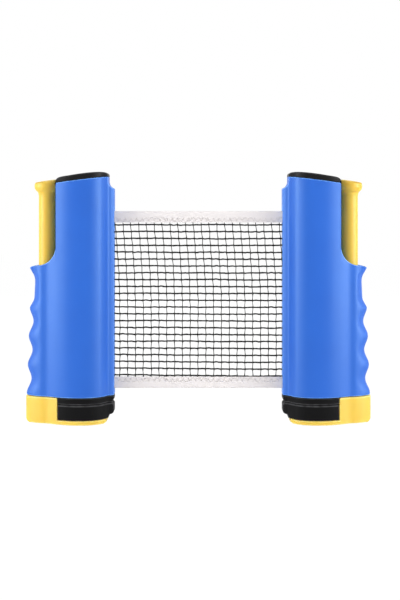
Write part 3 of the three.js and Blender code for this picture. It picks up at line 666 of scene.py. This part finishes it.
crown = [(4.5, 194.9), (4.6, 196.4), (5.4, 197.6), (7.3, 198.2), (11, 198.3), (17, 197.85), (23, 197.15)]
crown += [(29, 196.3), (34, 195.5), (38.3, 194.9), (41.6, 194.25)]
crown += [(43.8, 193.3), (44.9, 191.9), (45.4, 189.8)]
seat = [(u, barrel_top(u) + 0.25) for u in (45.4, 4.5)]
cap = standing("cap", between(PLAN, BARREL_IN + 0.1, BARREL_OUT - 0.1), 185, 205)
carve(cap, lying("cap_side", curve(crown, 39)[1:-1] + seat), "INTERSECT")
round_edges(cap, 1.1, lambda a, b: above_top(a, b) > 1.5, 4, 38)
round_edges(cap, 0.35, segments=2, least=60)
spigot = between(shrunk(PLAN, WALL + SPIGOT_GAP), SPIGOT_IN, SPIGOT_OUT)
spigot = standing("spigot", spigot, 180, 200)
carve(spigot, lying("spigot_side", along_top(-5, 1)), "INTERSECT")
hollow = shrunk(PLAN, WALL + SPIGOT_GAP + SPIGOT_WALL)
hollow = between(hollow, SPIGOT_IN + SPIGOT_WALL, SPIGOT_OUT - SPIGOT_WALL)
hollow = standing("spigot_hollow", hollow, 180, 200)
carve(spigot, carve(hollow, lying("hollow_side", along_top(-9, -0.5)), "INTERSECT"))
carve(cap, spigot, "UNION")
in_both(cap, "top_cap", "post", black_plastic)


# --------------------------------------------------------------- Jaw pads
# Two pads of matt black rubber grip the table: a thin one pinned under the
# body by two round lugs, and a thick one with a nose, pinned to the foot.
rubber = moulded("black_rubber", (8, 8, 9), (15, 15, 16), (84, 84, 86), (0.42, 0.55), 2400.0, 0.16, 0.6, 0.08)

LUG_U, LUG_Y, LUG = 25.0, 11.0, 2.0
PAD_OUT, PAST_PAD = 43.2, 46.3


def at_lugs(piece, radius, low, high, operation):
    """Adds or cuts a rod at the places of both lugs."""
    for y in (-LUG_Y, LUG_Y):
        carve(piece, standing("lug", disc(LUG_U, y, radius, 24), low, high), operation)


pad = standing("upper_pad", between(PLAN, 0.1, PAD_OUT), 16.1, 21.2)
nose = [(1.0, 16.0), (PAST_PAD, 16.0), (PAST_PAD, 21.0), (0, 21.0), (0, 17.5), (1.0, 17.3)]
carve(pad, lying("pad_side", nose), "INTERSECT")
round_edges(pad, 0.9, lambda a, b: max(a.z, b.z) < 17.6, 4, 40)
round_edges(pad, 0.35, segments=2, least=40)
at_lugs(pad, LUG, 20, 23.8, "UNION")
in_both(pad, "upper_jaw_pad", "post", rubber)

pad = standing("lower_pad", between(PLAN, 0.1, PAD_OUT), 3.8, 15.8)
nose = [(4.2, 3.7), (PAST_PAD, 3.7), (PAST_PAD, 15.7), (1.0, 15.7), (0.1, 14.4), (0.1, 8.9)]
nose += [(0.4, 7.6), (1.5, 6.8), (3.4, 6.4), (3.9, 5.8)]
carve(pad, lying("pad_side", nose), "INTERSECT")
round_edges(pad, 1.2, lambda a, b: min(a.z, b.z) > 13.5, 4, 40)
round_edges(pad, 0.4, segments=2, least=36)
at_lugs(pad, LUG, 1.2, 5, "UNION")
in_both(pad, "lower_jaw_pad", "clamp", rubber)


# ------------------------------------------------------- Foot and plunger
# The foot is one yellow moulding: a plate under the pad, a block under the grip
# and a square column inside the grip. The plunger beside the barrel flares into
# a slanted palm rest and is pinned to the column's end, so both move as one.
yellow_plastic = moulded(
    "yellow_plastic", (222, 182, 56), (236, 202, 82), (255, 236, 150), (0.36, 0.48), specular=0.45, milky=0.4
)

FOOT_OUT, CORNER, STEP_U = 70.8, 4.5, PAD_OUT + 0.3
TENON, PIN_Z, PIN_HOLE = 3.3, 111, 1.6
turn = [math.pi / 16 * k for k in range(9)]
foot_side = [(5.0, 2.4), (5.6, 1.0), (7.5, 0)]
foot_side += [(66.2 + CORNER * math.sin(a), CORNER - CORNER * math.cos(a)) for a in turn]
foot_side += [(FOOT_OUT, 20.9), (STEP_U, 20.9), (STEP_U, 3.6), (5.8, 3.6)]
foot = standing("foot", outline(70.7), -1, 22)
carve(foot, lying("foot_side", foot_side), "INTERSECT")
round_edges(foot, 1.0, lambda a, b: max(a.x, b.x) < 66.4 or min(a.z, b.z) > 6, 4, 34)
carve(foot, square(POLE, 20, 103), "UNION")
carve(foot, square(TENON, 102, 117.6), "UNION")
round_edges(foot, 0.3, lambda a, b: min(a.z, b.z) > 22, 2)
carve(foot, rod(STEM_U, PIN_Z, PIN_HOLE, -9, 9))
at_lugs(foot, LUG + 0.2, -1, 5, "DIFFERENCE")
in_both(foot, "clamp_foot", "clamp", yellow_plastic)

STEM = 6.9
flare = curve([(STEM, 179.6), (7.6, 182.4), (9.5, 184.4), (10.3, 186.9), (10.0, 189.4), (9.2, 191.0)], 20)
stem = [(7.3, 103), (7.3, 106), (STEM, 106.8), (STEM, 125), (STEM, 150), *flare, (8.2, 195)]
plunger = loft("plunger", [[at(u, y, z) for u, y in disc(STEM_U, 0, r, 64)] for r, z in stem])
palm = [(40, 100), (80, 100), (80, 187.6), (63.0, 190.3), (46.4, 192.7), (46.4, 179.2), (40, 178.8)]
carve(plunger, lying("palm_side", palm), "INTERSECT")
round_edges(plunger, 1.1, lambda a, b: min(a.z, b.z) > 188.5 and max(a.x, b.x) > 46.5, 4, 25)
round_edges(plunger, 0.4, lambda a, b: min(a.z, b.z) > 178, 2, 35)
carve(plunger, square(TENON + SLIDE, 100, 118.2))
carve(plunger, rod(STEM_U, PIN_Z, PIN_HOLE + 0.05, -9, 9))
in_both(plunger, "squeeze_plunger", "clamp", yellow_plastic)


# ---------------------------------------------------------- Clamp springs
# A coil spring of zinc-plated wire stands round each column on a steel washer
# and pushes the plunger up, which shuts the jaw. Its end turns lie flat.
COILS, COIL, WIRE, END_TURN = 7, 6.6, 0.55, 0.8
COIL_FOOT, COIL_RISE = 25.8, 75.6

turn = [math.pi * n / 4 for n in range(8)]
rings = []
for k in range(COILS * 24 + 1):
    share = k / (COILS * 24)
    climb = min(max((share * COILS - END_TURN) / (COILS - 2 * END_TURN), 0), 1)
    height = COIL_FOOT + 1.2 * share * (1 - climb) + COIL_RISE * climb
    angle = 2 * math.pi * COILS * share
    core = Vector((STEM_U + COIL * math.cos(angle), COIL * math.sin(angle), height))
    outward = Vector((math.cos(angle), math.sin(angle), 0))
    round_wire = [math.cos(a) * outward + Vector((0, 0, math.sin(a))) for a in turn]
    rings.append([at(*(core + WIRE * way)) for way in round_wire])
coil = loft("right_clamp_coil", rings)
for made, side in ((coil, "right"), (mirrored(coil, "left_clamp_coil"), "left")):
    smooth(made)
    made.data.materials.append(zinc)
    x = made.data.vertices[0].co.x
    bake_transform(made)
    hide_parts(f"{side}_clamp_spring")


# ------------------------------------------------------------ Roller parts
# Inside each barrel a nylon tube turns on a still steel rod between two
# nylon plugs, wound up by a long torsion spring on a nylon collar. These
# carried-over CAD parts, the washer and the pin get their finishes here.
nylon = moulded(
    "natural_nylon", (216, 213, 204), (232, 230, 222), (246, 246, 242), (0.4, 0.52), 1800.0, 0.06, 0.3
)

made_of = {
    nylon: ("roller_tube", "roller_lower_plug", "roller_upper_plug", "spring_anchor"),
    zinc: ("roller_arbor", "retract_spring", "spring_washer", "plunger_pin"),
}
for side in ("left", "right"):
    for material, parts in made_of.items():
        for part in parts:
            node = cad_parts[f"{side}_{part}"]
            node.data.materials.clear()
            node.data.materials.append(material)


# -------------------------------------------------------------------- Net
# A net of black braided cords, knotless where they cross, with a folded white
# woven tape zigzag-stitched over its upper and lower edges. What is wound on
# the rollers comes out of the posts' slots as the posts are drawn apart.
def cloth(name, deep, pale, weave):
    """A woven or braided fabric: crossing threads in two tones, and soft uneven fuzz."""
    material, tree, where, surface = new_material(name, 3000.0)
    threads = []
    for turn in (0.7, -0.7):
        lines = add(tree, "ShaderNodeMapping", {"Vector": where, "Rotation": (0, turn, 0)}).outputs[0]
        wave = {"Vector": lines, "Scale": weave, "Distortion": 1.0, "Detail": 1.0}
        threads.append(add(tree, "ShaderNodeTexWave", wave).outputs[1])
    fuzzy = maths(tree, "MULTIPLY", maths(tree, "MAXIMUM", *threads), surface["Height"])
    tone = mixed_colour(tree, fuzzy, srgb(*deep), srgb(*pale))
    more = {"Specular IOR Level": 0.12, "Sheen Weight": 0.08}
    finish_off(tree, tone, surface["Gloss"], (0.75, 0.9), fuzzy, 0.5, more)
    return material


black_cord = cloth("black_cord", (4, 4, 4), (22, 22, 21), 700.0)
grey_cord = cloth("grey_cord", (36, 36, 33), (76, 76, 68), 700.0)
white_tape = cloth("white_tape", (228, 222, 221), (246, 242, 241), 420.0)
seam_thread = cloth("seam_thread", (192, 188, 186), (212, 208, 206), 900.0)

# Rows go down from the top one. Columns go out from the left, and as they lean,
# those of a stretch are counted from a line that lies a little further in.
ROW, ROWS, TOP_ROW = 5.5, 23, 156.6
COLUMN, FIRST_COLUMN, COUNTED_FROM = 6.25, -60.5, -58
LEAN, LEAN_HIGH = 4.0, 66
WEAVE = 0.25
NET_END = 72.4
TAPES = {"top": (158.4, 167.5), "bottom": (26.2, 35.2)}


def row_height(row, x):
    """How high a cord across lies: slightly slack between the crossings, with small kinks."""
    slack = 0.16 * math.cos(2 * math.pi * (x - FIRST_COLUMN) / COLUMN)
    drift = 0.45 * noise.noise(Vector((x / 28, row * 3.1, 0)))
    kink = 0.32 * noise.noise(Vector((x / 2.6, row * 5.7, 9)))
    rise = 1.3 * (row / ROWS) ** 2 * min(max(0.5 - x / NET_END, 0), 1.5) / 1.5
    slack *= 0.5 + noise.noise(Vector((x / 9, row * 1.7, 4)))
    return TOP_ROW - ROW * row + rise + drift + kink + slack


def column_place(column, z):
    """How far along an upright cord lies: it leans, and steps from row to row."""
    drop = min(max((TOP_ROW + 2 - z) / LEAN_HIGH, 0), 1)
    lean = LEAN * (1 - (1 - drop) ** 1.5)
    step = (z - TOP_ROW) / ROW
    zigzag = 0.22 * (abs((step + column) % 2 - 1) - 0.5) * 2
    drift = 0.3 * noise.noise(Vector((column * 4.3, z / 16, 2)))
    return FIRST_COLUMN + COLUMN * column + lean + zigzag + drift


def cord_blank(sides, steps):
    """A straight cord of unit size, to be laid along many paths."""
    bpy.ops.object.select_all(action="DESELECT")
    bpy.ops.mesh.primitive_cylinder_add(vertices=sides, radius=1, depth=1)
    blank = bpy.context.object
    bpy.ops.object.mode_set(mode="EDIT")
    pick_edges(lambda edge: abs(edge.verts[0].co.z - edge.verts[1].co.z) > 0.5)
    bpy.ops.mesh.subdivide(number_cuts=steps - 1)
    bpy.ops.object.mode_set(mode="OBJECT")
    return blank


def laid(blank, path, radii, material):
    """A copy of the blank laid along a path of points in the net's plane, in millimetres."""
    cord = copied(blank, "cord")
    last = len(path) - 1
    frames = []
    for k, here in enumerate(path):
        along = (path[min(k + 1, last)] - path[max(k - 1, 0)]).normalized()
        frames.append((here, along.cross(Vector((0, 1, 0))), radii[k]))
    for vert in cord.data.vertices:
        here, across, radius = frames[round((vert.co.z + 0.5) * last)]
        vert.co = (here + radius * (vert.co.x * Vector((0, 1, 0)) + vert.co.y * across)) / 1000
    cord.data.materials.append(material)
    return cord


def joined(parts, name):
    """Joins pieces into the first of them."""
    bpy.ops.object.select_all(action="DESELECT")
    for part in parts:
        part.select_set(True)
    bpy.context.view_layer.objects.active = parts[0]
    bpy.ops.object.join()
    parts[0].name = parts[0].data.name = name
    return parts[0]


def moved(piece, place):
    """Puts every point of a piece where place says, from where it lies along the net and off its plane."""
    for vert in piece.data.vertices:
        x, y = place(vert.co.x * 1000, vert.co.y * 1000)
        vert.co.x, vert.co.y = x / 1000, y / 1000
    return piece


def net_cords(name, start, end, step, sides, levels, place):
    """The cords from start to end along the net, in millimetres; place says where each point lies."""
    steps = math.ceil((end - start) / step)
    cords = []
    blank = cord_blank(sides, steps)
    for row in range(ROWS):
        along = [start + (end - start) * k / steps for k in range(steps + 1)]
        weave = [WEAVE * math.sin(math.pi * (x - FIRST_COLUMN) / COLUMN) for x in along]
        path = [Vector((x, y, row_height(row, x))) for x, y in zip(along, weave)]
        thick = [0.6 + 0.14 * noise.noise(Vector((x / 1.7, row * 9.1, 1))) for x in along]
        cords.append(laid(blank, path, thick, black_cord))
    bpy.data.objects.remove(blank)
    low, high = TAPES["bottom"][1] - 0.3, TAPES["top"][0] + 0.3
    steps = levels * ROWS
    up = [low + (high - low) * k / steps for k in range(steps + 1)]
    off_row = [abs((z - TOP_ROW + ROW / 2) % ROW - ROW / 2) for z in up]
    thick = [0.3 + 0.26 * math.exp(-((gap / 0.7) ** 2)) for gap in off_row]
    blank = cord_blank(sides, steps)
    for column in range(*[math.ceil((x - COUNTED_FROM) / COLUMN) for x in (start, end)]):
        weave = [-WEAVE * math.sin(math.pi * ((z - TOP_ROW) / ROW + column)) for z in up]
        path = [Vector((column_place(column, z), y, z)) for y, z in zip(weave, up)]
        cords.append(laid(blank, path, thick, grey_cord))
    bpy.data.objects.remove(blank)
    return moved(joined(cords, name), place)


def sway(edge, x):
    """How far an edge tape waves off the net's plane."""
    return 0.2 * noise.noise(Vector((x / 30, TAPES[edge][1], 5)))


def tape(name, edge, start, end, step, place):
    """One edge tape: a woven strip folded over the net's edge, its two layers stitched together."""
    low, high = TAPES[edge]
    steps = math.ceil((end - start) / step)
    half = [(0.6, 0), (0.6, 0.25), (0.56, 0.5), (0.6, 0.75), (0.5, 0.95), (0.2, 1)]
    section = half + [(-y, z) for y, z in reversed(half)] + [(-0.35, 0), (-0.2, 0.03), (0.2, 0.03), (0.35, 0)]
    rings = []
    for k in range(steps + 1):
        x = start + (end - start) * k / steps
        ring = []
        for y, z in section:
            z = z if edge == "top" else 1 - z
            puff = 1 + 0.15 * noise.noise(Vector((x / 2.2, z * 5, 3)))
            ring.append(Vector((x, y * puff + sway(edge, x), low + (high - low) * z)) / 1000)
        rings.append(ring)
    made = moved(loft(name, rings), place)
    made.data.materials.append(white_tape)
    return made


def stitching(name, start, end, place):
    """The zigzag seams that hold the tapes, one thread on each side of each tape, near its inner edge."""
    stitch, wide, inset = 1.1, 2.6, 2.4
    steps = math.ceil((end - start) / stitch)
    blank = cord_blank(4, steps)
    threads = []
    for edge, z in (("top", TAPES["top"][0] + inset), ("bottom", TAPES["bottom"][1] - inset)):
        for side in (-1, 1):
            path = []
            for k in range(steps + 1):
                x = start + (end - start) * k / steps
                path.append(Vector((x, side * 0.66 + sway(edge, x), z + wide * (k % 2 - 0.5))))
            threads.append(laid(blank, path, [0.16] * len(path), seam_thread))
    bpy.data.objects.remove(blank)
    return moved(joined(threads, name), place)


def finished(piece):
    """Smooths a piece of the net."""
    only(piece)
    bpy.ops.object.shade_smooth_by_angle(angle=math.radians(60))
    return piece


def whole_stretch(name, start, end, fine, place):
    """The cords, the two tapes and the seams of one stretch of net."""
    step, sides, levels = (1.2, 6, 6) if fine else (3.1, 4, 3)
    cords = finished(net_cords(f"{name}_cords", start, end, step, sides, levels, place))
    tapes = []
    for edge in TAPES:
        tapes.append(finished(tape(f"{name}_{edge}_edge", edge, start, end, step * 1.6, place)))
    seams = finished(stitching(f"{name}_seams", start, end, place))
    return cords, *tapes, seams


shown = whole_stretch("net", -NET_END, NET_END, True, lambda x, y: (x, y))
for piece in shown:
    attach(piece, "net")
for piece, node in zip(shown, ("net_mesh", "net_top_tape", "net_bottom_tape")):
    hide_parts(node)

# The spare net lies squeezed behind each slot at rest, laid out so that a smooth step would bring it out to
# its full length at full draw.
DRAW, TUCK = 783.0, 1.8


def put_away(x, y):
    """Where a point of the spare net lies at rest, so that a smooth step brings it out at full draw."""
    spare = abs(x) - NET_END
    if spare <= 0:
        return x, y
    share = min(spare / (DRAW + TUCK), 1)
    step = 0.5 - math.sin(math.asin(1 - 2 * share) / 3)
    return math.copysign(NET_END + TUCK * step + max(spare - DRAW - TUCK, 0), x), y


for side, sign in (("left", -1), ("right", 1)):
    near, far = sign * NET_END, sign * (NET_END + DRAW + TUCK)
    for piece in whole_stretch(f"{side}_spare", min(near, far), max(near, far), False, put_away):
        if side == "left":
            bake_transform(piece)
        else:
            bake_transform(piece)


# --------------------------------------------------- Wound net and its lead
# Half of the spare net is wound on each roller, in eleven and a half turns,
# with its two tapes as bands. From the roll it runs flat to the post's slot.
wound_cord = cloth("wound_cord", (16, 16, 16), (86, 86, 82), 90.0)

ROLL_U, ROLL_IN, ROLL_OUT, CLOTH = 25.0, 8.35, 13.3, 0.14
TURNS = DRAW / (math.pi * (ROLL_IN + ROLL_OUT))
BANDS_END = (35.3, 158.2)

# Heights in the roll, with the share of the thickest cloth that is wound there.
section = [(26.2, 0.8), (26.5, 1), (34.9, 1), (BANDS_END[0], 0.55), (97, 0.55), (BANDS_END[1], 0.55)]
section += [(158.6, 1), (167.2, 1), (167.5, 0.8)]
section = [(thick * CLOTH, z) for z, thick in section]
section += [(-out, z) for out, z in reversed(section)]
steps = round(TURNS * 40)
rings = []
for k in range(steps + 1):
    share = k / steps
    angle = 2 * math.pi * TURNS * share
    ring = []
    for off, z in section:
        radius = ROLL_IN + (ROLL_OUT - ROLL_IN) * share + off + 0.03 * noise.noise(Vector((angle, z / 9, 7)))
        ring.append(at(ROLL_U + radius * math.cos(angle), radius * math.sin(angle), z))
    rings.append(ring)
roll = loft("right_wound_net", rings)
roll.data.materials.append(wound_cord)
roll.data.materials.append(white_tape)
for face in roll.data.polygons:
    face.material_index = 0 if BANDS_END[0] < face.center.z * 1000 < BANDS_END[1] else 1

LEAD_START, LEAD_LENGTH = 5.8, 13.4
LEAD_TURN = math.asin((ROLL_OUT + 0.9) / (ROLL_U - LEAD_START))


def lead(x, y):
    """Where a point of the stretch from the slot to the roll lies, from its place along the net."""
    along = x - NET_END
    cos, sin = math.cos(LEAD_TURN), math.sin(LEAD_TURN)
    u = LEAD_START + along * cos - y * sin
    return POST_X + u, along * sin + y * cos


parts = whole_stretch("right_lead", NET_END + 0.6, NET_END + LEAD_LENGTH, True, lead)
for piece in (roll, *parts):
    for made, side in ((piece, "right"), (mirrored(piece, piece.name.replace("right_", "left_")), "left")):
        finished(made)
        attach(made, f"{side}_roller" if piece is roll else f"{side}_post")
        if piece is roll:
            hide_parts(f"{side}_net_roll")
for side in ("left", "right"):
    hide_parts(f"{side}_net_feed")
